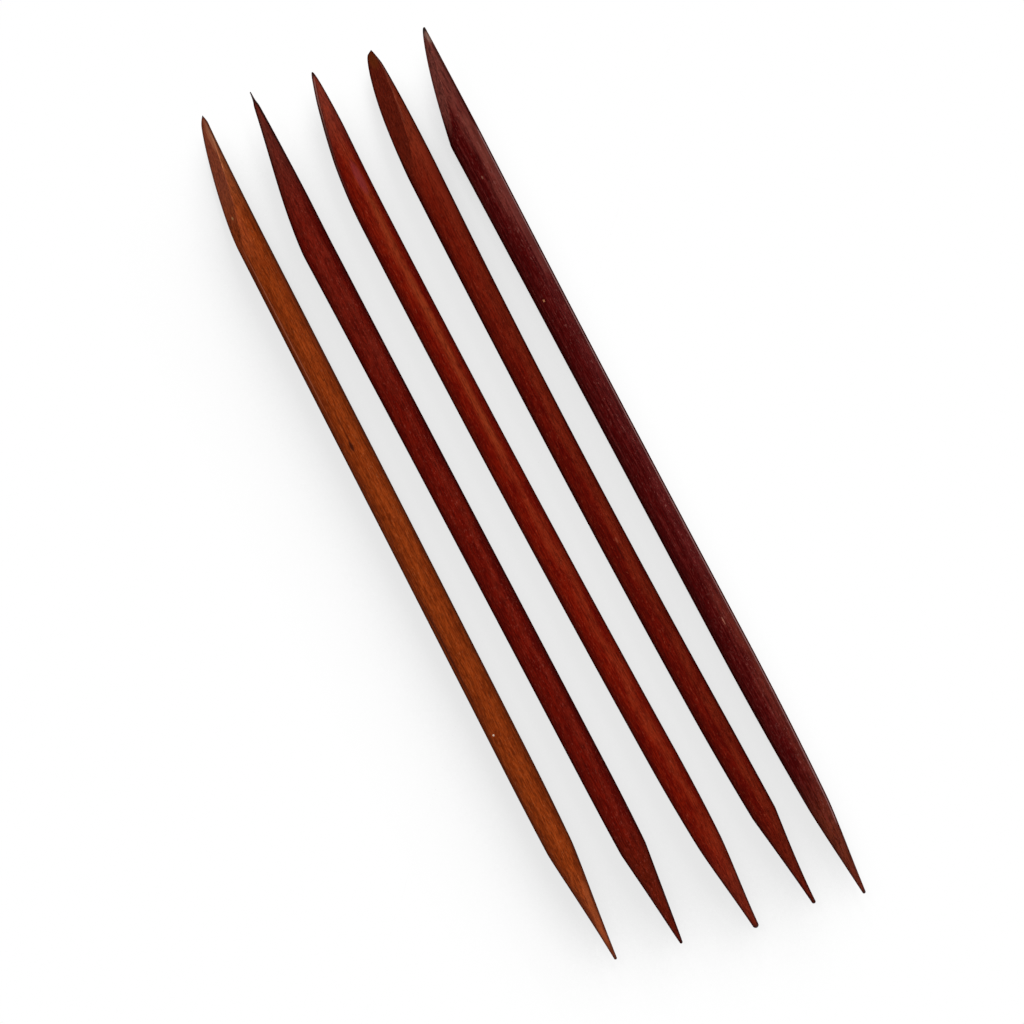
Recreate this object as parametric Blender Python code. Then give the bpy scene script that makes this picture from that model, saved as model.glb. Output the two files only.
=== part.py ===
"""A set of five double pointed knitting needles, turned from rosewood and pointed by hand.

Metres, +Z up. The needles lie side by side on the plane Z = 0 and run along Y. The upper points
face +Y and are ground from one side, so each of them leans towards +X. The lower points face -Y
and are nearly plain cones. No two needles came off the bench alike, so each has its own sizes.
"""

import math

import bmesh
import bpy
from mathutils import Matrix, Vector

# Sizes that the set shares
SHAFT_DIAMETER = 0.0063         # nominal thickness at the middle of a needle
GAP = 0.0063                    # free space between the shafts of two neighbours

# How finely a needle is made
SIDES = 32                      # flats round the shaft
POINT_RINGS = 15                # rings along each point
SHAFT_RINGS = 12                # rings along the shaft between the points
WELD = 1e-6                     # corners nearer than this are one corner

# Each needle's own sizes, from left to right. Lengths are in metres and angles in degrees.
#   length          from tip to tip
#   thicker         what its shaft has over the nominal diameter
#   upper_swell     growth of the diameter from the middle towards the upper shoulder
#   bow             how far both ends stand off to +X from the middle
# Each of its two points, upper and lower, has
#   point           its length
#   rounding        power of the curve at its shoulder: 1 is a corner, more is a softer bend
#   fullness        power of its side: 1 is a plain cone, less is a fuller, blunter point
#   lean            share of the lost radius by which the point's axis moves to +X
#   tip             radius that the taper leaves at the tip, before it is rounded
#   upper_nib       length over which the upper tip is rounded; the lower one is a ball
# Its shaft is worn thinner towards the lower tip:
#   worn            length of the worn end
#   worn_down       what its radius would lose at the tip
#   worn_aside      how far its axis would move to +X at the tip
# Where it lies and how it is ground:
#   aside, along    where its middle lies, against an even row
#   turned          angle by which it lies off the Y axis
#   flats           the flats ground on the upper point, each with its length,
#                   the direction that it faces, up from +X in the cross-section,
#                   and its height over the point's axis at the tip
NEEDLES = {
    "needle_1": dict(
        length=0.19575, thicker=0.00006, upper_swell=-0.0002, bow=-0.0001,
        upper_point=0.0283, upper_rounding=1.21, upper_fullness=0.36, upper_lean=1.26,
        upper_tip=0.00034, upper_nib=0.0021,
        lower_point=0.0260, lower_rounding=1.19, lower_fullness=0.95, lower_lean=0.12,
        lower_tip=0.00029, worn=0.046, worn_down=0.00125, worn_aside=-0.00030,
        aside=-0.00067, along=0.0040, turned=-0.451,
        flats=[dict(length=0.0295, angle=146, tip=0.00025)],
    ),
    "needle_2": dict(
        length=0.19885, thicker=-0.00003, upper_swell=0.0008, bow=-0.0001,
        upper_point=0.0358, upper_rounding=1.36, upper_fullness=1.39, upper_lean=1.22,
        upper_tip=0.00115, upper_nib=0.0281,
        lower_point=0.0222, lower_rounding=1.00, lower_fullness=0.80, lower_lean=0.01,
        lower_tip=0.00026, worn=0.040, worn_down=0.00105, worn_aside=-0.00030,
        aside=-0.00075, along=0.0022, turned=0.304,
        flats=[],
    ),
    "needle_3": dict(
        length=0.20085, thicker=0.00004, upper_swell=-0.0002, bow=0.0012,
        upper_point=0.0337, upper_rounding=1.98, upper_fullness=1.18, upper_lean=1.34,
        upper_tip=0.00124, upper_nib=0.0149,
        lower_point=0.0208, lower_rounding=1.50, lower_fullness=0.80, lower_lean=-0.06,
        lower_tip=0.00059, worn=0.041, worn_down=0.00190, worn_aside=-0.00014,
        aside=-0.00008, along=-0.0011, turned=0.735,
        flats=[dict(length=0.02135, angle=165, tip=0.00079)],
    ),
    "needle_4": dict(
        length=0.20055, thicker=-0.00025, upper_swell=0.0011, bow=0.0018,
        upper_point=0.0278, upper_rounding=1.34, upper_fullness=0.43, upper_lean=0.40,
        upper_tip=0.00011, upper_nib=0.0014,
        lower_point=0.0216, lower_rounding=1.07, lower_fullness=1.06, lower_lean=-0.21,
        lower_tip=0.00040, worn=0.048, worn_down=0.00105, worn_aside=0.00026,
        aside=0.00012, along=-0.0023, turned=0.431,
        flats=[
            dict(length=0.0270, angle=122, tip=-0.0003),
            dict(length=0.0038, angle=8, tip=0.00013),
            dict(length=0.0009, angle=180, tip=-0.00068),
        ],
    ),
    "needle_5": dict(
        length=0.2024, thicker=0.00003, upper_swell=0.0012, bow=0.0003,
        upper_point=0.0247, upper_rounding=1.0, upper_fullness=0.73, upper_lean=0.87,
        upper_tip=0.00016, upper_nib=0.0003,
        lower_point=0.0215, lower_rounding=1.50, lower_fullness=0.80, lower_lean=-0.25,
        lower_tip=0.00030, worn=0.059, worn_down=0.00190, worn_aside=-0.00009,
        aside=-0.00056, along=-0.0044, turned=0.457,
        flats=[dict(length=0.0240, angle=132, tip=0.0003)],
    ),
}

# Oiled wood, one plank each: colour of the finish
WOOD_COLOUR = {
    "needle_1": (0.195, 0.032, 0.006),
    "needle_2": (0.110, 0.010, 0.003),
    "needle_3": (0.145, 0.013, 0.004),
    "needle_4": (0.112, 0.011, 0.004),
    "needle_5": (0.075, 0.006, 0.004),
}
WOOD_ROUGHNESS = 0.42


def blank(needle, y):
    """Centre in X and radius of the turned blank at y, before its ends are pointed."""
    share = y / (needle["length"] / 2)
    swell = needle["upper_swell"] * share ** 2 if share > 0 else 0
    wear = max(1 - (needle["length"] / 2 + y) / needle["worn"], 0) ** 2
    centre = needle["bow"] * share ** 2 + needle["worn_aside"] * wear
    radius = (SHAFT_DIAMETER + needle["thicker"] + swell) / 2 - needle["worn_down"] * wear
    return centre, radius


def point_share(needle, end, distance):
    """Share of the blank's radius that one end's point keeps, 0 at the tip and 1 at the shoulder."""
    share = min(distance / needle[end + "_point"], 1)
    return (1 - (1 - share) ** needle[end + "_rounding"]) ** needle[end + "_fullness"]


def tip_rounding(distance, nib):
    """Quarter round, from 0 at the tip to 1 where the nib of that length ends."""
    inset = 1 - min(distance / nib, 1)
    return math.sqrt(1 - inset ** 2)


def section(needle, y):
    """Centre in X and radius of the needle at y."""
    centre, radius = blank(needle, y)
    end = "upper" if y > 0 else "lower"
    distance = needle["length"] / 2 - abs(y)
    if distance > needle[end + "_point"]:
        return centre, radius
    tip = needle[end + "_tip"]
    nib = needle["upper_nib"] if end == "upper" else tip
    tapered = tip + (radius - tip) * point_share(needle, end, distance)
    centre += needle[end + "_lean"] * (radius - tapered)
    return centre, tapered * tip_rounding(distance, nib)


def resting_pitch(needle):
    """Angle at which a needle lies on its upper shoulder and on the start of its worn end."""
    upper = needle["length"] / 2 - needle["upper_point"]
    lower = needle["worn"] - needle["length"] / 2
    return math.atan2(blank(needle, upper)[1] - blank(needle, lower)[1], upper - lower)


def ring_places(needle):
    """Places of the rings along Y, close together at the tips and wide along the shaft."""
    half = needle["length"] / 2
    upper_shoulder = half - needle["upper_point"]
    lower_shoulder = needle["lower_point"] - half
    shares = [(ring + 0.5) / POINT_RINGS for ring in range(POINT_RINGS)]
    lower = [-half + needle["lower_point"] * share ** 2 for share in shares]
    upper = [half - needle["upper_point"] * share ** 2 for share in reversed(shares)]
    step = (upper_shoulder - lower_shoulder) / (SHAFT_RINGS - 1)
    shaft = [lower_shoulder + step * ring for ring in range(SHAFT_RINGS)]
    return lower + shaft + upper


def rod(name, needle):
    """The pointed needle as a rod of changing radius, welded into one closed mesh."""
    line = bpy.data.curves.new(name, "CURVE")
    line.dimensions = "3D"
    line.bevel_depth = 1.0
    line.bevel_resolution = (SIDES - 4) // 2
    line.use_fill_caps = True
    places = ring_places(needle)
    spline = line.splines.new("POLY")
    spline.points.add(len(places) - 1)
    for point, y in zip(spline.points, places):
        centre, radius = section(needle, y)
        point.co = (centre, y, 0, 1)
        point.radius = radius
    guide = bpy.data.objects.new(name + "_line", line)
    bpy.context.scene.collection.objects.link(guide)
    bpy.context.view_layer.update()
    evaluated = guide.evaluated_get(bpy.context.evaluated_depsgraph_get())
    mesh = bpy.data.meshes.new_from_object(evaluated)
    bpy.data.objects.remove(guide)
    bpy.data.curves.remove(line)
    welded = bmesh.new()
    welded.from_mesh(mesh)
    bmesh.ops.remove_doubles(welded, verts=welded.verts, dist=WELD)
    bmesh.ops.recalc_face_normals(welded, faces=welded.faces)
    welded.to_mesh(mesh)
    welded.free()
    mesh.name = name
    return mesh


def flat_cutter(name, needle, flat):
    """A block whose lower face lies on a flat that is ground on the upper point."""
    half = needle["length"] / 2
    angle = math.radians(flat["angle"])
    outward = Vector((math.cos(angle), 0, math.sin(angle)))
    start_y = half - flat["length"]
    start_x, start_radius = section(needle, start_y)
    tip_x = section(needle, half)[0]
    start = Vector((start_x, start_y, 0)) + outward * start_radius
    end = Vector((tip_x, half, 0)) + outward * flat["tip"]
    length = (end - start).length
    along = (end - start).normalized()
    across = outward.cross(along).normalized()
    normal = across.cross(along)
    if normal.dot(outward) < 0:
        normal.negate()
    across = along.cross(normal)
    block = bmesh.new()
    bmesh.ops.create_cube(block, size=1)
    bmesh.ops.scale(block, vec=(SHAFT_DIAMETER * 2, length * 2, SHAFT_DIAMETER), verts=block.verts)
    bmesh.ops.translate(block, vec=(0, 0, SHAFT_DIAMETER / 2), verts=block.verts)
    mesh = bpy.data.meshes.new(name + "_flat")
    block.to_mesh(mesh)
    block.free()
    cutter = bpy.data.objects.new(name + "_flat", mesh)
    place = Matrix((across, along, normal)).transposed().to_4x4()
    place.translation = (start + end) / 2
    cutter.matrix_local = place
    cutter.hide_render = True
    cutter.display_type = "WIRE"
    return cutter


def wood(name):
    """Oiled rosewood in the colour of one needle."""
    material = bpy.data.materials.new(name + "_wood")
    material.use_nodes = True
    shader = material.node_tree.nodes["Principled BSDF"]
    shader.inputs["Base Color"].default_value = (*WOOD_COLOUR[name], 1)
    shader.inputs["Roughness"].default_value = WOOD_ROUGHNESS
    shader.inputs["Metallic"].default_value = 0.0
    return material


def make_needle(name, needle, place, needles, cutters):
    """One needle, lying on Z = 0 at its place in the row, with its flats ground."""
    body = bpy.data.objects.new(name, rod(name, needle))
    body.data.materials.append(wood(name))
    needles.objects.link(body)
    body.location = (place + needle["aside"], needle["along"], 0)
    body.rotation_euler = (resting_pitch(needle), 0, math.radians(needle["turned"]))
    for flat in needle["flats"]:
        cutter = flat_cutter(name, needle, flat)
        cutters.objects.link(cutter)
        cutter.parent = body
        grind = body.modifiers.new("ground_flat", "BOOLEAN")
        grind.operation = "DIFFERENCE"
        grind.solver = "EXACT"
        grind.object = cutter
    body.data.shade_smooth()
    return body


def settle(bodies):
    """Lay each needle on Z = 0 and put the middle of the whole set over the origin."""
    row = bpy.data.objects.new("needle_row", None)
    bpy.context.scene.collection.objects.link(row)
    bpy.context.view_layer.update()
    depsgraph = bpy.context.evaluated_depsgraph_get()
    corners = []
    for body in bodies:
        mesh = body.evaluated_get(depsgraph).to_mesh()
        points = [body.matrix_world @ vertex.co for vertex in mesh.vertices]
        body.location.z = -min(point.z for point in points)
        corners += points
    middle = [
        (min(point[axis] for point in corners) + max(point[axis] for point in corners)) / 2
        for axis in range(2)
    ]
    for body in bodies:
        body.parent = row
    row.location = (-middle[0], -middle[1], 0)


def build():
    for leftover in list(bpy.data.objects):
        bpy.data.objects.remove(leftover)
    needles = bpy.data.collections.new("double_pointed_needles")
    cutters = bpy.data.collections.new("cutters")
    bpy.context.scene.collection.children.link(needles)
    bpy.context.scene.collection.children.link(cutters)
    pitch = SHAFT_DIAMETER + GAP
    middle_of_row = (len(NEEDLES) - 1) / 2
    bodies = [
        make_needle(name, needle, (order - middle_of_row) * pitch, needles, cutters)
        for order, (name, needle) in enumerate(NEEDLES.items())
    ]
    settle(bodies)


build()
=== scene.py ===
"""Five double pointed knitting needles of oiled rosewood, laid side by side on a white table."""

import math

import bmesh
import bpy
from mathutils import Matrix, Vector, noise


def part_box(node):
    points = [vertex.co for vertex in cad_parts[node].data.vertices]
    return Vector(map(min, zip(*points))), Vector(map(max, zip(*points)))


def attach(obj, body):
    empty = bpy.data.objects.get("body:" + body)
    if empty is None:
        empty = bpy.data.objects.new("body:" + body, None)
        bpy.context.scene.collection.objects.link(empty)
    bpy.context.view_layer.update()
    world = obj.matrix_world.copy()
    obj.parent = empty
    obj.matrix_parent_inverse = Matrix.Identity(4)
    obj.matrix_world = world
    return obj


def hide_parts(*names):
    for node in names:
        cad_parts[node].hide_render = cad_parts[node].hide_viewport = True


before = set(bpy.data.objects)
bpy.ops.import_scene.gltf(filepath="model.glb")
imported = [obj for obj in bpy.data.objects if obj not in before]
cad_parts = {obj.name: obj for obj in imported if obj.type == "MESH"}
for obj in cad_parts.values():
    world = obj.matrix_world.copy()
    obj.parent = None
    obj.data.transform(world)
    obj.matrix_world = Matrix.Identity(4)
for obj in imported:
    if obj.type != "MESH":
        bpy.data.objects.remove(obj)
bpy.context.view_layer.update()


# ---------------------------------------------------------------------------------------------
# Needle 1: the palest of the set, an orange-brown stick turned from one piece of rosewood.
# Its upper point is ground from one side, with a long flat, and its lower point is a plain cone.
# The blank is turned first, then ground, then oiled; the other needles are made the same way.
# ---------------------------------------------------------------------------------------------
NOMINAL_DIAMETER = 0.0063       # at the middle of a needle
END_TRIM = 0.00004              # what sanding took off the very ends
SANDED = 0.000022               # what sanding took off the sides
SIDES = 96                      # corners round a needle
RINGS = 300                     # rings from tip to tip
END_RING = 0.9999               # a ring past this share of the blank's half length is an end
UNEVEN = 0.000014               # how deep the sandpaper bit here and there
UNEVEN_LENGTH = 0.011           # how far apart those places lie along a needle
UNEVEN_ROUND = 0.8              # and how often they change round it
THIN = 0.002                    # wood of a smaller radius was sanded more lightly
WISP_WAIST = 0.42               # the share that a wisp at the tip loses where it is thinnest
WISP_SKEW = 0.75                # below 1, that place lies nearer to the tip than the middle
RUNG = 0.0006                   # a ground flat is cut into strips as wide as this
MERGED = 1e-6                   # corners closer than this become one
ON_PLANE = 1e-7                 # what lies this near a plane counts as on it


def turned_stick(sizes, y):
    """Centre in X and radius of the turned stick at y, before its ends are pointed."""
    share = y / (sizes["length"] / 2)
    swell = sizes["upper_swell"] * share ** 2 if share > 0 else 0
    wear = max(1 - (sizes["length"] / 2 + y) / sizes["worn"], 0) ** 2
    centre = sizes["bow"] * share ** 2 + sizes["worn_aside"] * wear
    radius = (NOMINAL_DIAMETER + sizes["thicker"] + swell) / 2 - sizes["worn_down"] * wear
    return centre, radius


def point_share(sizes, end, distance):
    """Share of the stick's radius that one end's point keeps: 0 at the tip, 1 at the shoulder."""
    share = min(max(distance / sizes[end + "_point"], 0), 1)
    return (1 - (1 - share) ** sizes[end + "_rounding"]) ** sizes[end + "_fullness"]


def tip_rounding(distance, nib):
    """Quarter round, from 0 at the tip to 1 where the nib of that length ends."""
    inset = 1 - min(max(distance, 0) / nib, 1)
    return math.sqrt(1 - inset ** 2)


def section(sizes, y):
    """Centre in X and radius of the needle at y."""
    centre, radius = turned_stick(sizes, y)
    end = "upper" if y > 0 else "lower"
    distance = sizes["length"] / 2 - abs(y)
    if distance > sizes[end + "_point"]:
        return centre, radius
    tip = sizes[end + "_tip"]
    nib = sizes["upper_nib"] if end == "upper" else tip
    tapered = tip + (radius - tip) * point_share(sizes, end, distance)
    centre += sizes[end + "_lean"] * (radius - tapered)
    if end == "upper" and distance < sizes["wisp"]:
        along = (distance / sizes["wisp"]) ** WISP_SKEW
        tapered *= 1 - WISP_WAIST * math.sin(math.pi * along)
    return centre, tapered * tip_rounding(distance, nib)


def turn_blank(sizes):
    """A tube of unit radius, cut into rings and drawn out to the needle's section."""
    blank = bmesh.new()
    bmesh.ops.create_cone(blank, cap_ends=True, segments=SIDES, radius1=1, radius2=1, depth=2)
    lengthwise = [edge for edge in blank.edges if abs(edge.verts[0].co.z - edge.verts[1].co.z) > 1]
    bmesh.ops.subdivide_edges(blank, edges=lengthwise, cuts=RINGS)
    half = sizes["length"] / 2 - END_TRIM
    for corner in blank.verts:
        # the rings crowd together towards both tips
        y = half * math.sin(corner.co.z * math.pi / 2)
        side_x, side_z = corner.co.x, corner.co.y
        centre, radius = section(sizes, y)
        spot = Vector((
            side_x * UNEVEN_ROUND + sizes["seed"], side_z * UNEVEN_ROUND, y / UNEVEN_LENGTH,
        ))
        bite = SANDED + UNEVEN * (0.5 + 0.5 * noise.noise(spot))
        bite *= min(1, radius / THIN)
        # both ends close to a point
        radius = 0 if abs(corner.co.z) > END_RING else radius - bite
        corner.co = (centre + radius * side_x, y, radius * side_z)
    bmesh.ops.remove_doubles(blank, verts=blank.verts, dist=MERGED)
    bmesh.ops.recalc_face_normals(blank, faces=blank.faces)
    for face in blank.faces:
        face.smooth = True
    return blank


def flat_plane(sizes, flat):
    """A point on a ground flat and the direction that the flat faces, in the needle's own frame."""
    half = sizes["length"] / 2
    angle = math.radians(flat["angle"])
    outward = Vector((math.cos(angle), 0, math.sin(angle)))
    start_y = half - flat["length"]
    start_x, start_radius = section(sizes, start_y)
    start = Vector((start_x, start_y, 0)) + outward * start_radius
    end = Vector((section(sizes, half)[0], half, 0)) + outward * flat["tip"]
    along = (end - start).normalized()
    normal = (outward - along * outward.dot(along)).normalized()
    return start, normal


def grind_flats(blank, sizes):
    """Press the upper point against the stone: what stands over each plane is taken away."""
    ground = blank.faces.layers.int.new("ground")
    for order, flat in enumerate(sizes["flats"], 1):
        start, normal = flat_plane(sizes, flat)
        every = blank.verts[:] + blank.edges[:] + blank.faces[:]
        cut = bmesh.ops.bisect_plane(
            blank, geom=every, plane_co=start, plane_no=normal, dist=ON_PLANE, clear_outer=True
        )
        ridge = [part for part in cut["geom_cut"] if isinstance(part, bmesh.types.BMEdge)]
        filled = bmesh.ops.holes_fill(blank, edges=ridge)
        for face in filled["faces"]:
            face.smooth = False
            face[ground] = order
            if face.normal.dot(normal) < 0:
                face.normal_flip()
        for edge in ridge:
            if edge.is_valid:
                edge.smooth = False
        for rung in range(1, int(flat["length"] / RUNG)):
            crossing = Vector((0, sizes["length"] / 2 - rung * RUNG, 0))
            strips = [face for face in blank.faces if face[ground] == order]
            rims = {edge for face in strips for edge in face.edges}
            corners = {corner for face in strips for corner in face.verts}
            bmesh.ops.bisect_plane(
                blank, geom=[*corners, *rims, *strips], plane_co=crossing,
                plane_no=(0, 1, 0), dist=ON_PLANE,
            )
    blank.faces.layers.int.remove(ground)


def sides(sizes, y):
    """How far the ground needle reaches to the left and to the right at y."""
    centre, radius = section(sizes, y)
    planes = [flat_plane(sizes, flat) for flat in sizes["flats"]]
    turns = [0, math.pi]
    for start, normal in planes:
        level = (Vector((centre, y, 0)) - start).dot(normal)
        reach = radius * math.hypot(normal.x, normal.z)
        if abs(level) < reach:
            opening = math.acos(-level / reach)
            facing = math.atan2(normal.z, normal.x)
            turns += [facing - opening, facing + opening]
    kept = []
    for turn in turns:
        spot = Vector((centre + radius * math.cos(turn), y, radius * math.sin(turn)))
        if all((spot - start).dot(normal) < ON_PLANE for start, normal in planes):
            kept.append(spot.x)
    return (min(kept), max(kept)) if kept else (centre - radius, centre + radius)


def lay_down(name, blank, sizes):
    """Turn the needle as it lies in the row and set it down where the frame holds its node."""
    # the wood's pattern follows each corner's place in the stick, the same place with the bow
    # taken out, and its distances from the stick's left and right side
    stick = blank.verts.layers.float_vector.new("stick")
    grain = blank.verts.layers.float_vector.new("grain")
    rims = blank.verts.layers.float_vector.new("rims")
    half = sizes["length"] / 2
    reaches = {}
    for corner in blank.verts:
        corner[stick] = corner.co
        straight = corner.co.copy()
        straight.x -= sizes["bow"] * (straight.y / half) ** 2
        corner[grain] = straight
        # the corners of one ring share their y, and so the needle's sides
        y = round(corner.co.y, 7)
        if y not in reaches:
            reaches[y] = sides(sizes, y)
        left, right = reaches[y]
        corner[rims] = (corner.co.x - left, right - corner.co.x, 0)
    upper = half - sizes["upper_point"]
    lower = sizes["worn"] - half
    rise = turned_stick(sizes, upper)[1] - turned_stick(sizes, lower)[1]
    pitch = Matrix.Rotation(math.atan2(rise, upper - lower), 4, "X")
    yaw = Matrix.Rotation(math.radians(sizes["turned"]), 4, "Z")
    bmesh.ops.transform(blank, matrix=yaw @ pitch, verts=blank.verts)
    low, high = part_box(name)
    mine_low = Vector([min(corner.co[axis] for corner in blank.verts) for axis in range(3)])
    mine_high = Vector([max(corner.co[axis] for corner in blank.verts) for axis in range(3)])
    shift = (low + high - mine_low - mine_high) / 2
    shift.z = low.z - mine_low.z
    bmesh.ops.translate(blank, vec=shift, verts=blank.verts)


def make_needle(name, sizes, finish):
    """Turn, grind, lay down and oil one needle, and put it in the place of its node."""
    blank = turn_blank(sizes)
    grind_flats(blank, sizes)
    lay_down(name, blank, sizes)
    mesh = bpy.data.meshes.new(name + "_wood")
    blank.to_mesh(mesh)
    blank.free()
    mesh.materials.append(finish)
    needle = bpy.data.objects.new(name + "_oiled", mesh)
    bpy.context.scene.collection.objects.link(needle)
    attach(needle, name)
    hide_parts(name)


FIBRES = dict(                  # how wide and how long each kind of fibre is
    drift=(0.004, 0.016), patches=(0.0016, 0.0065), speckles=(0.0004, 0.0012),
    seams=(0.00042, 0.012), lines=(0.00034, 0.030), streaks=(0.00021, 0.0019),
    pores=(0.00022, 0.0010), flecks=(0.00025, 0.00075),
)
SHOWING = dict(                 # between which levels of its noise each of them comes and goes
    patch=(0.33, 0.67), patchy_band=(0.25, 0.60), patchy_strip=(0.20, 0.55),
    seam=(0.37, 0.50), dark_line=(0.36, 0.52), pale_line=(0.52, 0.70),
    dark_streak=(0.30, 0.58), bright_streak=(0.50, 0.75), fleck=(0.58, 0.74),
    flecked_line=(0.42, 0.58), pore=(0.62, 0.74), polished_streak=(0.3, 0.7),
)
DRIFT = 0.00225                 # how far the growth layers wander to either side
BAND_FADE = 0.008              # a growth layer, and a painted highlight band too, ends over this length
BAND_LEAST = 0.35              # the share of it that is left where it is faintest
DRY_SHARE = 0.85                # how much of the dry tone shows on a ground point
FLAT_DEPTH = (0.00004, 0.00001)    # this far under a flat's plane its tone begins and is full
RIDGE_TOP = 0.00003             # a painted highlight along a flat's ridge lies this far under its plane
RIDGE_BLUR = 0.00002            # with sides that ease off over this width
RIDGE_FADE = 0.0012             # and ends that ease off over this length
FLECK_LEAST = 0.35              # the share of the flecks that dark lines keep
LEFT_HALF = (-0.0010, 0.0012)    # where a needle's left half goes over into its right
MARK_CORE = 0.55                # a mark is full from here on, from 0 at its rim to 1 within
STRIP_BLUR = 0.00006            # the sides of a strip along a needle ease off over this width
STRIP_FADE = 0.0015             # and its ends over this length
STRIP_LEAST = 0.5               # the share of it that is left where it is faintest
SCORCH = (1.4, 0.6)             # the char begins and is full at these shares of its length
WORN_TIP = (0.0002, 0.0016)     # the dirt of use on a lower tip fades between these lengths
WORN_SHARE = 0.75               # and hides this much of the wood
PAINTED_SIDE_SHADE = (0.00012, 0.00058)    # painted shade on a needle's sides fades out between these distances from a side
ROUGHER = 0.08                  # how much rougher the dark streaks are than the rest
SMOOTHER = 0.05                 # and how much smoother the bright ones
SHEEN_FADE = (0.15, 0.55)       # the sheen fades while the surface turns away this much
SUNK = 0.8                      # how deep pores and dark lines lie, beside the streaks
RELIEF_DEPTH = 0.00006          # how deep the streaks lie
RELIEF_STRENGTH = 0.5


def connect(tree, entry, value):
    """Give an input a number, a colour, a vector or the output of another node."""
    if isinstance(value, bpy.types.NodeSocket):
        tree.links.new(value, entry)
    elif isinstance(value, tuple) and entry.type == "RGBA":
        entry.default_value = (*value, 1)
    else:
        entry.default_value = value


def arithmetic(tree, operation, first, second):
    """The result of one sum on two values, numbers or outputs of other nodes."""
    node = tree.nodes.new("ShaderNodeMath")
    node.operation = operation
    connect(tree, node.inputs[0], first)
    connect(tree, node.inputs[1], second)
    return node.outputs[0]


def spread(tree, value, low, high, to_low=0.0, to_high=1.0):
    """Ease a value from one level to another while it runs from low to high."""
    node = tree.nodes.new("ShaderNodeMapRange")
    node.interpolation_type = "SMOOTHSTEP"
    levels = (("From Min", low), ("From Max", high), ("To Min", to_low), ("To Max", to_high))
    for entry, level in levels:
        node.inputs[entry].default_value = level
    tree.links.new(value, node.inputs["Value"])
    return node.outputs["Result"]


def stained(tree, share, under, over):
    """Lay one colour over another where the share says."""
    node = tree.nodes.new("ShaderNodeMix")
    node.data_type = "RGBA"
    connect(tree, node.inputs[0], share)
    connect(tree, node.inputs[6], under)
    connect(tree, node.inputs[7], over)
    return node.outputs[2]


def fibres(tree, spot, kind, shift, detail=1.0):
    """Noise drawn out along the stick, as wide and as long as one kind of fibre."""
    across, along = FIBRES[kind]
    mapping = tree.nodes.new("ShaderNodeMapping")
    mapping.inputs["Scale"].default_value = (1 / across, 1 / along, 1 / across)
    mapping.inputs["Location"].default_value = (shift, shift * 0.7, shift * 1.3)
    tree.links.new(spot, mapping.inputs["Vector"])
    texture = tree.nodes.new("ShaderNodeTexNoise")
    texture.inputs["Scale"].default_value = 1.0
    texture.inputs["Detail"].default_value = detail
    texture.inputs["Roughness"].default_value = 0.55
    tree.links.new(mapping.outputs["Vector"], texture.inputs["Vector"])
    return texture.outputs["Fac"]


def swayed(tree, value, most):
    """Turn noise from 0 to 1 into a shift of up to so much to either side."""
    moved = arithmetic(tree, "MULTIPLY_ADD", value, 2 * most)
    moved.node.inputs[2].default_value = -most
    return moved


def mark(tree, spot, place, size):
    """1 in the middle of one knot, dent or fleck of a given size, and 0 outside it."""
    mapping = tree.nodes.new("ShaderNodeMapping")
    mapping.inputs["Scale"].default_value = [1 / length for length in size]
    mapping.inputs["Location"].default_value = [-at / length for at, length in zip(place, size)]
    tree.links.new(spot, mapping.inputs["Vector"])
    ball = tree.nodes.new("ShaderNodeTexGradient")
    ball.gradient_type = "SPHERICAL"
    tree.links.new(mapping.outputs["Vector"], ball.inputs["Vector"])
    return spread(tree, ball.outputs["Fac"], 0.0, MARK_CORE)


def band(tree, value, left, right, blur):
    """1 where a value lies between two levels, easing to 0 over the blur at either side."""
    rising = spread(tree, value, left - blur, left + blur)
    falling = spread(tree, value, right - blur, right + blur, 1.0, 0.0)
    return arithmetic(tree, "MULTIPLY", rising, falling)


def over_plane(tree, spot, start, normal):
    """Height of a spot over a ground flat; below 0 it lies under the plane."""
    offset = tree.nodes.new("ShaderNodeVectorMath")
    offset.operation = "SUBTRACT"
    tree.links.new(spot, offset.inputs[0])
    offset.inputs[1].default_value = start
    height = tree.nodes.new("ShaderNodeVectorMath")
    height.operation = "DOT_PRODUCT"
    tree.links.new(offset.outputs[0], height.inputs[0])
    height.inputs[1].default_value = normal
    return height.outputs["Value"]


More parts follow.
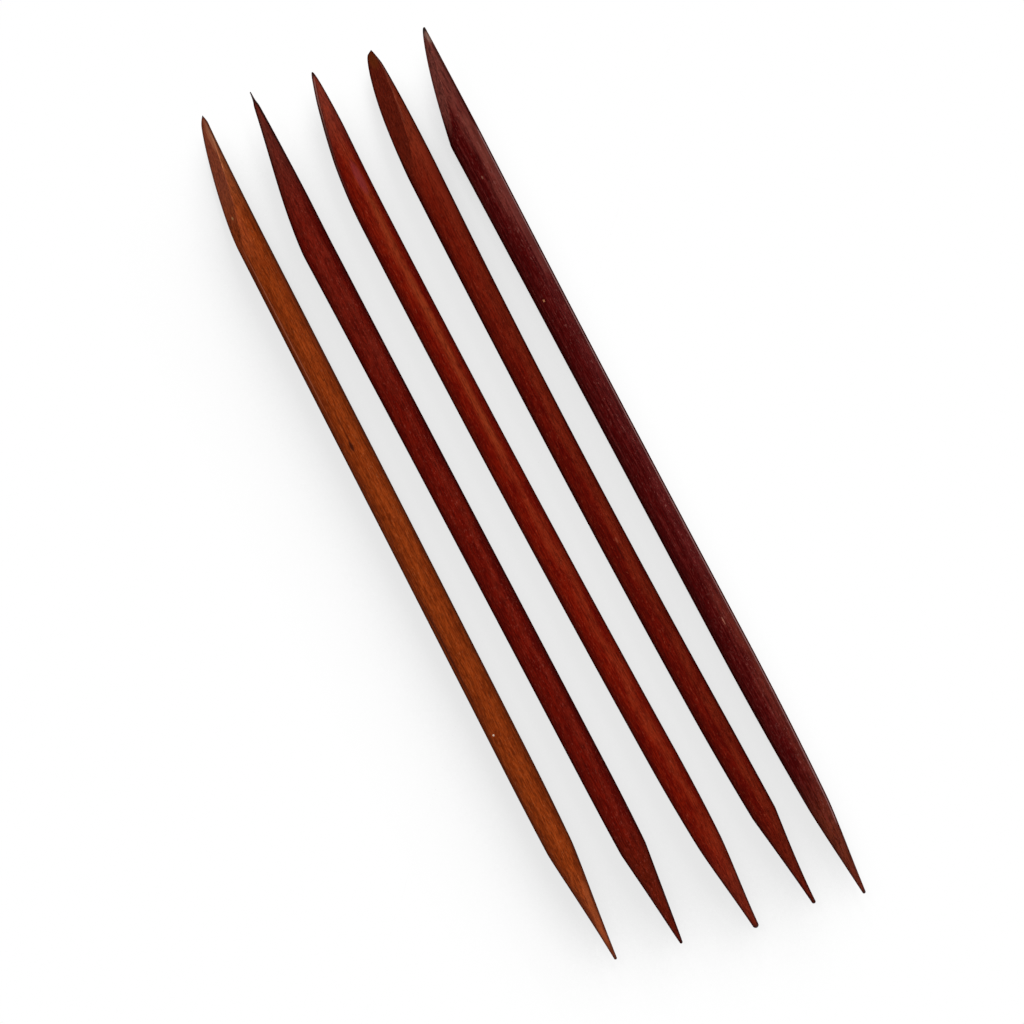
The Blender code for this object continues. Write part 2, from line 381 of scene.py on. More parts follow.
def rosewood(name, sizes, tones):
    """Oiled rosewood: growth layers, long lines, fine streaks, dark pores and pale flecks,
    with painted highlight bands and painted shade along both sides.
    """
    material = bpy.data.materials.new(name)
    material.use_nodes = True
    tree = material.node_tree
    shader = tree.nodes["Principled BSDF"]
    stick = tree.nodes.new("ShaderNodeAttribute")
    stick.attribute_name = "stick"
    grain = tree.nodes.new("ShaderNodeAttribute")
    grain.attribute_name = "grain"
    spot = grain.outputs["Vector"]
    place = tree.nodes.new("ShaderNodeSeparateXYZ")
    tree.links.new(spot, place.inputs[0])
    along = place.outputs["Y"]
    rims = tree.nodes.new("ShaderNodeAttribute")
    rims.attribute_name = "rims"
    distances = tree.nodes.new("ShaderNodeSeparateXYZ")
    tree.links.new(rims.outputs["Vector"], distances.inputs[0])
    from_side = dict(left=distances.outputs["X"], right=distances.outputs["Y"])
    shift = tones["shift"]

    # growth layers wander a little from side to side along the stick; the same list also holds
    # painted highlight and sheen bands, lighter stripes towards the right, some of them straight
    drift = swayed(tree, fibres(tree, spot, "drift", shift, 2.0), DRIFT)
    across = arithmetic(tree, "ADD", place.outputs["X"], drift)
    patches = fibres(tree, spot, "patches", shift + 3, 3.0)
    patch = spread(tree, patches, *SHOWING["patch"])
    colour = stained(tree, patch, tones["deep"], tones["body"])
    for layer_or_highlight in tones["layers"]:
        side = place.outputs["X"] if layer_or_highlight.get("straight") else across
        share = band(tree, side, layer_or_highlight["left"], layer_or_highlight["right"], layer_or_highlight["blur"])
        if "ends" in layer_or_highlight:
            extent = band(tree, along, *layer_or_highlight["ends"], BAND_FADE)
            share = arithmetic(tree, "MULTIPLY", share, extent)
        least, most = BAND_LEAST * layer_or_highlight["share"], layer_or_highlight["share"]
        uneven = spread(tree, patches, *SHOWING["patchy_band"], least, most)
        share = arithmetic(tree, "MULTIPLY", share, uneven)
        colour = stained(tree, share, colour, layer_or_highlight["tone"])

    # the points are ground last and drink less oil, so they are duller
    upper = spread(tree, along, *tones["upper_dry"], 0.0, DRY_SHARE)
    lower = spread(tree, along, *tones["lower_dry"], 0.0, DRY_SHARE)
    colour = stained(tree, upper, colour, tones["upper_tone"])
    colour = stained(tree, lower, colour, tones["lower_tone"])
    for flat, paint in zip(sizes["flats"], tones["flats"]):
        height = over_plane(tree, stick.outputs["Vector"], *flat_plane(sizes, flat))
        ragged = swayed(tree, fibres(tree, spot, "speckles", shift + 31, 2.0), paint["ragged"])
        depth = arithmetic(tree, "ADD", height, ragged)
        deepest, highest = -FLAT_DEPTH[0] - paint["ragged"], -FLAT_DEPTH[1]
        ground = spread(tree, depth, deepest, highest, 0.0, paint["share"])
        ground = arithmetic(tree, "MULTIPLY", ground, spread(tree, along, *paint["fades"]))
        colour = stained(tree, ground, colour, paint["tone"])
        if "seams" in paint:
            seams = fibres(tree, spot, "seams", shift + 23, 2.0)
            seam = spread(tree, seams, *SHOWING["seam"], paint["seams"], 0.0)
            seam = arithmetic(tree, "MULTIPLY", seam, ground)
            colour = stained(tree, seam, colour, tones["shade"])
        # painted highlight: a pale line on the body's side of a flat's ridge
        if "ridge" in paint:
            ridge = band(tree, height, -paint["ridge_width"], -RIDGE_TOP, RIDGE_BLUR)
            extent = band(tree, along, *paint["ridge_ends"], RIDGE_FADE)
            ridge = arithmetic(tree, "MULTIPLY", ridge, extent)
            ridge = arithmetic(tree, "MULTIPLY", ridge, paint["ridge"])
            colour = stained(tree, ridge, colour, paint["ridge_highlight_tone"])

    # fine structure: long lines, short streaks, open pores and pale flecks
    lines = fibres(tree, spot, "lines", shift + 5, 2.0)
    streaks = fibres(tree, spot, "streaks", shift + 7, 2.0)
    pores = fibres(tree, spot, "pores", shift + 17)
    flecks = fibres(tree, spot, "flecks", shift + 11)
    dark_line = spread(tree, lines, *SHOWING["dark_line"], tones["line"], 0.0)
    colour = stained(tree, dark_line, colour, tones["shade"])
    pale_line = spread(tree, lines, *SHOWING["pale_line"], 0.0, tones["line"])
    colour = stained(tree, pale_line, colour, tones["light"])
    streak = spread(tree, streaks, *SHOWING["dark_streak"], tones["streak"], 0.0)
    colour = stained(tree, streak, colour, tones["shade"])
    bright = spread(tree, streaks, *SHOWING["bright_streak"], 0.0, tones["gleam"])
    colour = stained(tree, bright, colour, tones["light"])
    fleck = spread(tree, flecks, *SHOWING["fleck"], 0.0, tones["fleck"])
    between = spread(tree, lines, *SHOWING["flecked_line"], FLECK_LEAST, 1.0)
    fleck = arithmetic(tree, "MULTIPLY", fleck, between)
    if "left_flecks" in tones:
        kept = spread(tree, place.outputs["X"], *LEFT_HALF, tones["left_flecks"], 1.0)
        fleck = arithmetic(tree, "MULTIPLY", fleck, kept)
    colour = stained(tree, fleck, colour, tones["pale"])
    pore = spread(tree, pores, *SHOWING["pore"], 0.0, tones["pore"])
    colour = stained(tree, pore, colour, tones["shade"])

    # single knots and dents, strips along the sides (some of them painted light, shade and
    # reflection), and what fire and use did to the tips
    for spotted in tones["marks"]:
        share = mark(tree, spot, spotted["place"], spotted["size"])
        share = arithmetic(tree, "MULTIPLY", share, spotted["share"])
        colour = stained(tree, share, colour, spotted["tone"])
    for strip in tones["strips"]:
        share = band(tree, from_side[strip["side"]], strip["near"], strip["far"], STRIP_BLUR)
        extent = band(tree, along, *strip["ends"], STRIP_FADE)
        share = arithmetic(tree, "MULTIPLY", share, extent)
        least, most = STRIP_LEAST * strip["share"], strip["share"]
        uneven = spread(tree, patches, *SHOWING["patchy_strip"], least, most)
        share = arithmetic(tree, "MULTIPLY", share, uneven)
        colour = stained(tree, share, colour, strip["tone"])
    half = sizes["length"] / 2
    begins, full = [half - share * tones["char"] for share in SCORCH]
    scorched = spread(tree, along, begins, full)
    colour = stained(tree, scorched, colour, tones["charred"])
    worn = spread(tree, along, -half + WORN_TIP[0], -half + WORN_TIP[1], WORN_SHARE, 0.0)
    colour = stained(tree, worn, colour, tones["charred"])

    # painted shade: each needle is darkened towards both of its sides
    nearest = arithmetic(tree, "MINIMUM", from_side["left"], from_side["right"])
    side_shade = spread(tree, nearest, *PAINTED_SIDE_SHADE, tones["side_shade_share"], 0.0)
    colour = stained(tree, side_shade, colour, tones["side_shade_tone"])
    tree.links.new(colour, shader.inputs["Base Color"])

    # the sheen is faint, a little duller in the dark streaks, and gone at the sides
    dull, smooth = tones["rough"] + ROUGHER, tones["rough"] - SMOOTHER
    gloss = spread(tree, streaks, *SHOWING["polished_streak"], dull, smooth)
    tree.links.new(gloss, shader.inputs["Roughness"])
    weight = tree.nodes.new("ShaderNodeLayerWeight")
    weight.inputs["Blend"].default_value = 0.5
    shine = spread(tree, weight.outputs["Facing"], *SHEEN_FADE, tones["shine"], 0.0)
    tree.links.new(shine, shader.inputs["Specular IOR Level"])
    shader.inputs["Specular Tint"].default_value = (*tones["shine_tint"], 1)

    # pores and dark lines lie a hair deeper than the wood between them
    relief = arithmetic(tree, "SUBTRACT", streaks, arithmetic(tree, "MULTIPLY", pore, SUNK))
    relief = arithmetic(tree, "SUBTRACT", relief, arithmetic(tree, "MULTIPLY", dark_line, SUNK))
    bump = tree.nodes.new("ShaderNodeBump")
    bump.inputs["Strength"].default_value = RELIEF_STRENGTH
    bump.inputs["Distance"].default_value = RELIEF_DEPTH
    tree.links.new(relief, bump.inputs["Height"])
    tree.links.new(bump.outputs["Normal"], shader.inputs["Normal"])
    return material


SIZES_1 = dict(
    length=0.19575, thicker=0.00004, upper_swell=-0.0002, bow=-0.0001,
    upper_point=0.0283, upper_rounding=1.21, upper_fullness=0.36, upper_lean=1.26,
    upper_tip=0.00034, upper_nib=0.0021,
    lower_point=0.0260, lower_rounding=1.19, lower_fullness=0.95, lower_lean=0.12,
    lower_tip=0.00029, worn=0.046, worn_down=0.00125, worn_aside=-0.00030,
    turned=-0.451, seed=1, wisp=0.0,
    flats=[dict(length=0.0295, angle=146, tip=0.00025)],
)
TONES_1 = dict(
    body=(0.258, 0.0370, 0.0048), deep=(0.195, 0.0245, 0.0030), shade=(0.060, 0.0090, 0.0018),
    light=(0.360, 0.0680, 0.0120), pale=(0.420, 0.1250, 0.0450),
    layers=[
        dict(left=-0.0034, right=-0.0017, blur=0.0006, share=0.50, tone=(0.120, 0.0130, 0.0030)),
        # painted highlight: the next band lightens the middle and right of the needle
        dict(left=-0.0004, right=0.0014, blur=0.0010, share=0.40, tone=(0.300, 0.0450, 0.0060)),
        dict(left=-0.0036, right=0.0006, blur=0.0005, share=0.75, tone=(0.360, 0.0600, 0.0170),
             straight=True, ends=(0.068, 0.110)),
    ],
    upper_tone=(0.300, 0.0820, 0.0300), upper_dry=(0.072, 0.090),
    lower_tone=(0.240, 0.0480, 0.0190), lower_dry=(-0.074, -0.094),
    flats=[
        dict(share=0.85, tone=(0.330, 0.0690, 0.0370), ragged=0.00022, fades=(0.072, 0.085),
             ridge=0.8, ridge_width=0.00026, ridge_highlight_tone=(0.560, 0.1900, 0.0750),
             ridge_ends=(0.085, 0.092)),
    ],
    line=0.35, streak=0.60, gleam=0.50, fleck=0.30, pore=0.50,
    char=0.0005, charred=(0.030, 0.012, 0.007), rough=0.44, shine=0.05,
    shine_tint=(1.0, 0.50, 0.30), side_shade_share=0.62, side_shade_tone=(0.070, 0.0210, 0.0115), shift=1.0,
    marks=[
        dict(place=(0.0024, 0.0925, 0.0010), size=(0.00060, 0.0050, 0.003), share=0.75,
             tone=(0.480, 0.1500, 0.0700)),
        dict(place=(-0.0006, 0.0222, 0.0030), size=(0.00045, 0.0016, 0.003), share=0.9,
             tone=(0.035, 0.006, 0.003)),
        dict(place=(-0.0004, 0.0262, 0.0030), size=(0.00020, 0.0050, 0.003), share=0.6,
             tone=(0.060, 0.009, 0.003)),
        dict(place=(-0.0011, 0.0757, 0.0025), size=(0.00026, 0.0006, 0.003), share=0.75,
             tone=(0.520, 0.260, 0.110)),
        dict(place=(-0.0016, -0.0445, 0.0025), size=(0.00026, 0.0003, 0.003), share=1.0,
             tone=(0.700, 0.520, 0.400)),
        dict(place=(-0.0021, 0.0500, 0.0025), size=(0.00018, 0.0260, 0.003), share=0.60,
             tone=(0.400, 0.120, 0.060)),
        dict(place=(-0.0023, -0.0250, 0.0022), size=(0.00030, 0.0170, 0.003), share=0.7,
             tone=(0.050, 0.008, 0.003)),
    ],
    strips=[
        dict(side="right", near=0.00038, far=0.00080, ends=(0.0915, 0.0966), share=0.55,
             tone=(0.500, 0.2100, 0.1150)),
        # painted shade on the left half of the lower point, and painted light on its right half
        dict(side="left", near=0.00010, far=0.00090, ends=(-0.0960, -0.0800), share=0.40,
             tone=(0.080, 0.0110, 0.0035)),
        dict(side="right", near=0.00050, far=0.00160, ends=(-0.0950, -0.0800), share=0.45,
             tone=(0.360, 0.0780, 0.0220)),
        dict(side="right", near=0.00030, far=0.00095, ends=(0.0370, 0.0620), share=0.40,
             tone=(0.230, 0.0330, 0.0090)),
    ],
)
make_needle("needle_1", SIZES_1, rosewood("oiled_orange_rosewood", SIZES_1, TONES_1))


# ---------------------------------------------------------------------------------------------
# Needle 2: a dark red-brown stick with the longest and finest upper point of the set, rounded
# by hand and scorched black at its very tip. It has no flat.
# ---------------------------------------------------------------------------------------------
SIZES_2 = dict(
    length=0.19885, thicker=-0.00003, upper_swell=0.0008, bow=-0.0001,
    upper_point=0.0358, upper_rounding=1.36, upper_fullness=1.39, upper_lean=1.22,
    upper_tip=0.00115, upper_nib=0.0281,
    lower_point=0.0222, lower_rounding=1.00, lower_fullness=0.80, lower_lean=0.01,
    lower_tip=0.00026, worn=0.040, worn_down=0.00105, worn_aside=-0.00030,
    turned=0.304, seed=2, wisp=0.0032,
    flats=[],
)
TONES_2 = dict(
    body=(0.140, 0.0048, 0.0016), deep=(0.100, 0.0027, 0.0011), shade=(0.036, 0.0013, 0.0008),
    light=(0.190, 0.0120, 0.0050), pale=(0.240, 0.0420, 0.0260),
    layers=[
        # painted highlight: the next band lightens a stripe just right of the middle
        dict(left=0.0003, right=0.0016, blur=0.0005, share=0.50, tone=(0.160, 0.0140, 0.0060)),
        dict(left=-0.0020, right=-0.0010, blur=0.0004, share=0.35, tone=(0.150, 0.0100, 0.0040)),
        dict(left=0.0020, right=0.0040, blur=0.0005, share=0.60, tone=(0.060, 0.0020, 0.0012)),
        dict(left=-0.0020, right=0.0018, blur=0.0006, share=0.45, tone=(0.165, 0.0160, 0.0080),
             ends=(0.034, 0.110)),
    ],
    upper_tone=(0.105, 0.0200, 0.0130), upper_dry=(0.068, 0.090),
    lower_tone=(0.100, 0.0100, 0.0032), lower_dry=(-0.068, -0.086),
    flats=[],
    line=0.30, streak=0.64, gleam=0.46, fleck=0.58, pore=0.50,
    char=0.0024, charred=(0.008, 0.004, 0.004), rough=0.44, shine=0.05,
    shine_tint=(1.0, 0.45, 0.30), side_shade_share=0.8, side_shade_tone=(0.026, 0.0030, 0.0028), shift=21.0,
    marks=[],
    strips=[
        dict(side="right", near=-0.00020, far=0.00046, ends=(0.0850, 0.0980), share=0.75,
             tone=(0.012, 0.0040, 0.0040)),
        dict(side="left", near=0.00035, far=0.00110, ends=(0.0840, 0.0940), share=0.45,
             tone=(0.125, 0.0240, 0.0150)),
    ],
)
make_needle("needle_2", SIZES_2, rosewood("oiled_dark_rosewood", SIZES_2, TONES_2))


# ---------------------------------------------------------------------------------------------
# Needle 3: the middle needle, a warm red-brown stick with a slight bow and a narrow flat along
# the side of its upper point. Its lower tip is the bluntest of the set.
# ---------------------------------------------------------------------------------------------
SIZES_3 = dict(
    length=0.20085, thicker=0.00004, upper_swell=-0.0002, bow=0.0012,
    upper_point=0.0337, upper_rounding=1.98, upper_fullness=1.18, upper_lean=1.34,
    upper_tip=0.00124, upper_nib=0.0149,
    lower_point=0.0208, lower_rounding=1.50, lower_fullness=0.80, lower_lean=-0.06,
    lower_tip=0.00059, worn=0.041, worn_down=0.00190, worn_aside=-0.00014,
    turned=0.735, seed=3, wisp=0.0,
    flats=[dict(length=0.02135, angle=165, tip=0.00079)],
)
TONES_3 = dict(
    body=(0.178, 0.0064, 0.0014), deep=(0.134, 0.0032, 0.0011), shade=(0.052, 0.0017, 0.0009),
    light=(0.245, 0.0200, 0.0060), pale=(0.310, 0.0520, 0.0240),
    layers=[
        # painted highlight: the next band lightens a stripe right of the middle
        dict(left=0.0000, right=0.0018, blur=0.0007, share=0.75, tone=(0.235, 0.0240, 0.0070)),
        dict(left=-0.0036, right=-0.0022, blur=0.0005, share=0.60, tone=(0.085, 0.0030, 0.0012)),
        # painted highlight: a straight lighter stripe right of the middle, along the upper shaft
        dict(left=0.0005, right=0.0017, blur=0.0004, share=0.60, tone=(0.310, 0.0480, 0.0130),
             straight=True, ends=(0.010, 0.078)),
    ],
    upper_tone=(0.195, 0.0330, 0.0190), upper_dry=(0.078, 0.094),
    lower_tone=(0.142, 0.0180, 0.0085), lower_dry=(-0.076, -0.094),
    flats=[
        dict(share=0.90, tone=(0.270, 0.0660, 0.0480), ragged=0.00002, fades=(0.078, 0.084)),
    ],
    line=0.28, streak=0.60, gleam=0.44, fleck=0.42, pore=0.48,
    char=0.0011, charred=(0.020, 0.009, 0.006), rough=0.44, shine=0.05,
    shine_tint=(1.0, 0.45, 0.30), side_shade_share=0.68, side_shade_tone=(0.042, 0.0065, 0.0048), shift=41.0,
    marks=[
        dict(place=(0.0012, 0.0760, 0.0025), size=(0.0010, 0.0050, 0.003), share=0.40,
             tone=(0.190, 0.020, 0.036)),
    ],
    strips=[
        dict(side="left", near=0.00028, far=0.00062, ends=(0.0870, 0.0990), share=0.75,
             tone=(0.300, 0.1300, 0.1070)),
        dict(side="left", near=0.00032, far=0.00048, ends=(0.0740, 0.0880), share=0.60,
             tone=(0.240, 0.1000, 0.0900)),
        dict(side="left", near=0.00068, far=0.00080, ends=(0.0740, 0.0985), share=0.70,
             tone=(0.030, 0.0030, 0.0030)),
    ],
)
make_needle("needle_3", SIZES_3, rosewood("oiled_red_rosewood", SIZES_3, TONES_3))


# ---------------------------------------------------------------------------------------------
# Needle 4: dark red-brown, with the strongest bow. Its upper point is blunt: one broad flat
# runs down it from the right of the tip, and two short ones break the tip's corners.
# ---------------------------------------------------------------------------------------------
SIZES_4 = dict(
    length=0.20055, thicker=-0.00025, upper_swell=0.0011, bow=0.0018,
    upper_point=0.0278, upper_rounding=1.34, upper_fullness=0.43, upper_lean=0.40,
    upper_tip=0.00011, upper_nib=0.0014,
    lower_point=0.0216, lower_rounding=1.07, lower_fullness=1.06, lower_lean=-0.21,
    lower_tip=0.00040, worn=0.048, worn_down=0.00105, worn_aside=0.00026,
    turned=0.431, seed=4, wisp=0.0,
    flats=[
        dict(length=0.0265, angle=128, tip=0.0),
        dict(length=0.0038, angle=8, tip=0.00013),
        dict(length=0.0009, angle=180, tip=-0.00068),
    ],
)
TONES_4 = dict(
    body=(0.130, 0.0044, 0.0016), deep=(0.094, 0.0025, 0.0011), shade=(0.040, 0.0013, 0.0008),
    light=(0.185, 0.0140, 0.0050), pale=(0.250, 0.0420, 0.0200),
    layers=[
        dict(left=-0.0026, right=0.0030, blur=0.0006, share=0.60, tone=(0.175, 0.0130, 0.0040),
             ends=(0.030, 0.110)),
        # painted highlight: the next band lightens a stripe right of the middle
        dict(left=0.0004, right=0.0024, blur=0.0006, share=0.75, tone=(0.170, 0.0160, 0.0050)),
        dict(left=-0.0036, right=-0.0020, blur=0.0005, share=0.45, tone=(0.070, 0.0026, 0.0012)),
    ],
    upper_tone=(0.215, 0.0300, 0.0110), upper_dry=(0.066, 0.084),
    lower_tone=(0.115, 0.0125, 0.0048), lower_dry=(-0.074, -0.092),
    flats=[
        dict(share=0.95, tone=(0.112, 0.0105, 0.0040), ragged=0.00001, fades=(0.070, 0.078),
             ridge=0.55, ridge_width=0.00042, ridge_highlight_tone=(0.240, 0.0560, 0.0300),
             ridge_ends=(0.083, 0.094)),
        dict(share=0.90, tone=(0.300, 0.0900, 0.0560), ragged=0.00001, fades=(0.094, 0.096)),
        dict(share=0.50, tone=(0.200, 0.0300, 0.0110), ragged=0.00001, fades=(0.094, 0.096)),
    ],
    line=0.32, streak=0.64, gleam=0.44, fleck=0.46, pore=0.54,
    char=0.0004, charred=(0.030, 0.010, 0.006), rough=0.44, shine=0.05,
    shine_tint=(1.0, 0.45, 0.30), side_shade_share=0.8, side_shade_tone=(0.026, 0.0014, 0.0010), shift=61.0,
    marks=[
        dict(place=(0.0009, 0.0982, 0.0008), size=(0.00150, 0.0030, 0.003), share=0.5,
             tone=(0.120, 0.0260, 0.0035)),
        dict(place=(0.0006, -0.0140, 0.0030), size=(0.00030, 0.0009, 0.003), share=0.6,
             tone=(0.250, 0.050, 0.025)),
        dict(place=(0.0001, -0.0165, 0.0030), size=(0.00030, 0.0030, 0.003), share=0.7,
             tone=(0.040, 0.003, 0.002)),
    ],
    strips=[
        dict(side="right", near=0.00030, far=0.00044, ends=(0.0920, 0.0975), share=0.60,
             tone=(0.300, 0.1200, 0.1000)),
        dict(side="right", near=0.00035, far=0.00190, ends=(0.0600, 0.0780), share=0.55,
             tone=(0.205, 0.0210, 0.0080)),
    ],
)
make_needle("needle_4", SIZES_4, rosewood("oiled_chestnut_rosewood", SIZES_4, TONES_4))


# ---------------------------------------------------------------------------------------------
# Needle 5: the darkest, a purple-brown stick that is thickest at its upper shoulder. A painted
# sheen greys its right side, and it shows open lines of grain.
# ---------------------------------------------------------------------------------------------
SIZES_5 = dict(
    length=0.2024, thicker=0.00003, upper_swell=0.0012, bow=0.0003,
    upper_point=0.0247, upper_rounding=1.0, upper_fullness=0.73, upper_lean=0.87,
    upper_tip=0.00016, upper_nib=0.0003,
    lower_point=0.0215, lower_rounding=1.50, lower_fullness=0.80, lower_lean=-0.25,
    lower_tip=0.00030, worn=0.059, worn_down=0.00190, worn_aside=-0.00009,
    turned=0.457, seed=5, wisp=0.0,
    flats=[dict(length=0.0220, angle=142, tip=0.0003)],
)
TONES_5 = dict(
    body=(0.066, 0.0012, 0.0012), deep=(0.054, 0.0009, 0.0009), shade=(0.024, 0.0007, 0.0008),
    light=(0.130, 0.0150, 0.0125), pale=(0.230, 0.0720, 0.0580),
    layers=[
        # painted sheen: these three bands lighten and grey the right side along the needle
        dict(left=0.0006, right=0.0050, blur=0.0007, share=0.70, tone=(0.120, 0.0120, 0.0110)),
        dict(left=0.0005, right=0.0050, blur=0.0008, share=0.72, tone=(0.160, 0.0230, 0.0125),
             ends=(-0.120, -0.030)),
        dict(left=0.0002, right=0.0050, blur=0.0008, share=0.80, tone=(0.180, 0.0360, 0.0260),
             ends=(0.056, 0.110)),
    ],
    upper_tone=(0.160, 0.0420, 0.0300), upper_dry=(0.080, 0.094),
    lower_tone=(0.158, 0.0290, 0.0120), lower_dry=(-0.070, -0.090),
    flats=[
        dict(share=0.88, tone=(0.285, 0.0710, 0.0520), ragged=0.00016, fades=(0.075, 0.085),
             seams=0.60),
    ],
    line=0.55, streak=0.55, gleam=0.52, fleck=0.60, left_flecks=0.45, pore=0.52,
    char=0.0011, charred=(0.020, 0.010, 0.008), rough=0.42, shine=0.05,
    shine_tint=(1.0, 0.60, 0.60), side_shade_share=0.36, side_shade_tone=(0.020, 0.0030, 0.0030), shift=81.0,
    marks=[
        dict(place=(0.0029, 0.0993, 0.0005), size=(0.00075, 0.0024, 0.003), share=0.65,
             tone=(0.300, 0.1700, 0.1300)),
        dict(place=(-0.0008, 0.0675, 0.0030), size=(0.00022, 0.0005, 0.003), share=0.40,
             tone=(0.360, 0.160, 0.100)),
        dict(place=(-0.0014, 0.0390, 0.0028), size=(0.00026, 0.0004, 0.003), share=0.9,
             tone=(0.450, 0.180, 0.080)),
        dict(place=(0.0004, -0.0370, 0.0030), size=(0.00018, 0.0012, 0.003), share=0.7,
             tone=(0.350, 0.120, 0.080)),
    ],
    strips=[
        # painted reflection: a pale line close to the right side, along most of the needle
        dict(side="right", near=0.00036, far=0.00062, ends=(-0.0850, 0.0770), share=0.95,
             tone=(0.330, 0.1500, 0.1400)),
        dict(side="right", near=0.00036, far=0.00054, ends=(0.0790, 0.0965), share=0.80,
             tone=(0.035, 0.0040, 0.0030)),
        dict(side="right", near=0.00115, far=0.00126, ends=(0.0720, 0.0880), share=0.50,
             tone=(0.030, 0.0030, 0.0030)),
        dict(side="right", near=0.00205, far=0.00216, ends=(0.0700, 0.0840), share=0.45,
             tone=(0.030, 0.0030, 0.0030)),
        dict(side="right", near=0.00070, far=0.00240, ends=(0.0690, 0.0810), share=0.28,
             tone=(0.240, 0.0600, 0.0420)),
        dict(side="right", near=0.00070, far=0.00190, ends=(0.0440, 0.0680), share=0.35,
             tone=(0.215, 0.0500, 0.0400)),
    ],
)
make_needle("needle_5", SIZES_5, rosewood("oiled_purple_rosewood", SIZES_5, TONES_5))


# ---------------------------------------------------------------------------------------------
# The table: a plain white top. It shows white to the eye, with a painted soft grey shadow on
# one side of each needle, and a darker painted shadow where a needle touches it.
# ---------------------------------------------------------------------------------------------
TABLE_SIZE = 6.0
TABLE_PAINT = 0.25              # share of the light that the table throws back on the needles
PAINTED_SHADOW_SOURCE = (0.52, 0.83, 0.20)    # the direction that the painted soft shadow is cast from
SOFT_REACH = 0.030              # how far off a needle still casts its soft shadow
SOFT_HIDDEN = (0.055, 0.30)     # the shadow deepens while this much of the light is hidden
SOFT_SHADE = 0.785              # how bright the table is in it
TOUCH_REACH = 0.012             # the same for the dark line where a needle touches the table
TOUCH_HIDDEN = (0.55, 1.0)
TOUCH_SHADE = 0.25


def hidden_share(tree, towards, reach):
    """How much of what lies in one direction is hidden behind the needles, from 0 to 1."""
    look = tree.nodes.new("ShaderNodeAmbientOcclusion")
    look.samples = 16
    look.inputs["Distance"].default_value = reach
    direction = tree.nodes.new("ShaderNodeCombineXYZ")
    for entry, part in enumerate(towards):
        direction.inputs[entry].default_value = part
    tree.links.new(direction.outputs[0], look.inputs["Normal"])
    return arithmetic(tree, "SUBTRACT", 1.0, look.outputs["AO"])


def seen_directly(tree):
    """1 for what the eye meets, straight or in a sheen, and 0 for light that falls on things."""
    path = tree.nodes.new("ShaderNodeLightPath")
    seen = arithmetic(tree, "MAXIMUM", path.outputs["Is Camera Ray"], path.outputs["Is Glossy Ray"])
    return arithmetic(tree, "MAXIMUM", seen, path.outputs["Is Transmission Ray"])


def white_table():
    """White paint in the room's light, seen as clean white with painted shadows."""
    material = bpy.data.materials.new("white_table_top")
    material.use_nodes = True
    tree = material.node_tree
    tree.nodes.remove(tree.nodes["Principled BSDF"])
    output = tree.nodes["Material Output"]
    paint = tree.nodes.new("ShaderNodeBsdfDiffuse")
    paint.inputs["Color"].default_value = (TABLE_PAINT, TABLE_PAINT, TABLE_PAINT, 1)
    aside = hidden_share(tree, PAINTED_SHADOW_SOURCE, SOFT_REACH)
    above = hidden_share(tree, (0, 0, 1), TOUCH_REACH)
    brightness = arithmetic(
        tree, "MULTIPLY",
        spread(tree, aside, *SOFT_HIDDEN, 1.0, SOFT_SHADE),
        spread(tree, above, *TOUCH_HIDDEN, 1.0, TOUCH_SHADE),
    )
    shown = tree.nodes.new("ShaderNodeEmission")
    tree.links.new(brightness, shown.inputs["Strength"])
    choice = tree.nodes.new("ShaderNodeMixShader")
    tree.links.new(seen_directly(tree), choice.inputs[0])
    tree.links.new(paint.outputs[0], choice.inputs[1])
    tree.links.new(shown.outputs[0], choice.inputs[2])
    tree.links.new(choice.outputs[0], output.inputs["Surface"])
    return material


top = bmesh.new()
bmesh.ops.create_grid(top, x_segments=1, y_segments=1, size=TABLE_SIZE / 2)
table_mesh = bpy.data.meshes.new("table_top")
top.to_mesh(table_mesh)
top.free()
table_mesh.materials.append(white_table())
table = bpy.data.objects.new("table_top", table_mesh)
bpy.context.scene.collection.objects.link(table)


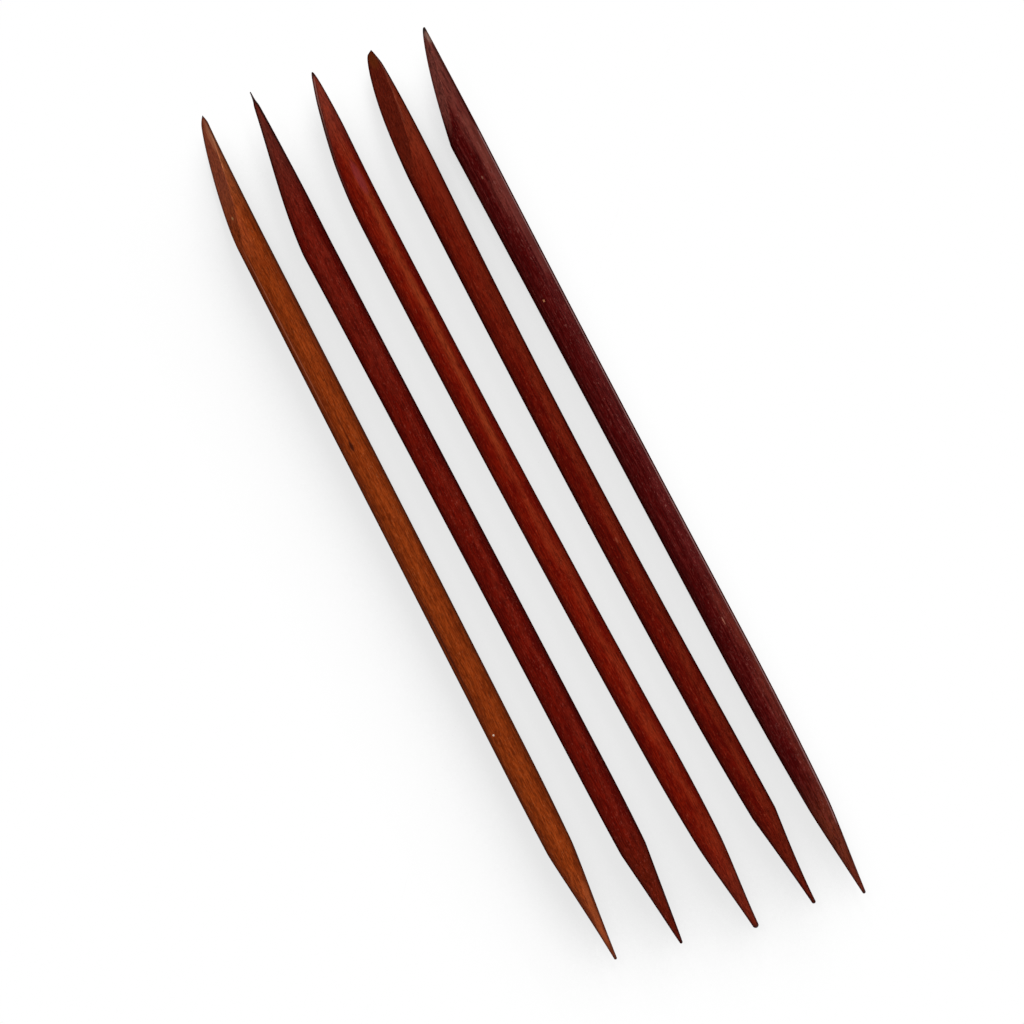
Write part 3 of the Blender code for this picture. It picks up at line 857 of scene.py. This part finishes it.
# ---------------------------------------------------------------------------------------------
# Light: a pale room, a lamp straight overhead, and a key from the right that draws a soft
# sheen along the needles. The room looks white but lights the needles only weakly.
# ---------------------------------------------------------------------------------------------
ROOM_LIGHT = 0.10               # how much the room's walls light the needles


def lamp(name, share, elevation, azimuth, width, glossy):
    """A distant lamp; share is what it adds to the brightness of a level white surface."""
    light = bpy.data.lights.new(name, "SUN")
    light.energy = share * math.pi / math.sin(math.radians(elevation))
    light.angle = math.radians(width)
    holder = bpy.data.objects.new(name, light)
    bpy.context.scene.collection.objects.link(holder)
    towards = Vector((math.cos(math.radians(azimuth)), math.sin(math.radians(azimuth)), 0))
    towards *= math.cos(math.radians(elevation))
    towards.z = math.sin(math.radians(elevation))
    holder.rotation_euler = towards.to_track_quat("Z", "Y").to_euler()
    holder.visible_glossy = glossy


lamp("overhead_lamp", share=0.80, elevation=88, azimuth=20, width=14, glossy=False)
lamp("key_lamp", share=0.09, elevation=52, azimuth=15, width=24, glossy=True)

room = bpy.data.worlds.new("pale_room")
room.use_nodes = True
walls = room.node_tree
brightness = spread(walls, seen_directly(walls), 0.0, 1.0, ROOM_LIGHT, 1.0)
walls.links.new(brightness, walls.nodes["Background"].inputs["Strength"])
walls.nodes["Background"].inputs["Color"].default_value = (1, 1, 1, 1)
bpy.context.scene.world = room


# ---------------------------------------------------------------------------------------------
# Camera: it looks straight down from about 0.6 m over the middle of the set, through a long
# lens, and is turned so that the needles lie slantwise across the picture.
# ---------------------------------------------------------------------------------------------
VIEW_LEVEL = 0.0032             # the height of the needles' middle
VIEW_WIDTH = 0.21325            # what the picture spans at that height
VIEW_TURN = 27.5                # degrees
VIEW_CENTRE = (-0.002445, 0.00068)

eye = bpy.data.cameras.new("camera")
eye.lens = 100
eye.sensor_width = 36
camera = bpy.data.objects.new("camera", eye)
bpy.context.scene.collection.objects.link(camera)
camera.location = (*VIEW_CENTRE, VIEW_LEVEL + VIEW_WIDTH * eye.lens / eye.sensor_width)
camera.rotation_euler = (0, 0, math.radians(-VIEW_TURN))
bpy.context.scene.camera = camera

bpy.context.scene.view_settings.view_transform = "Standard"
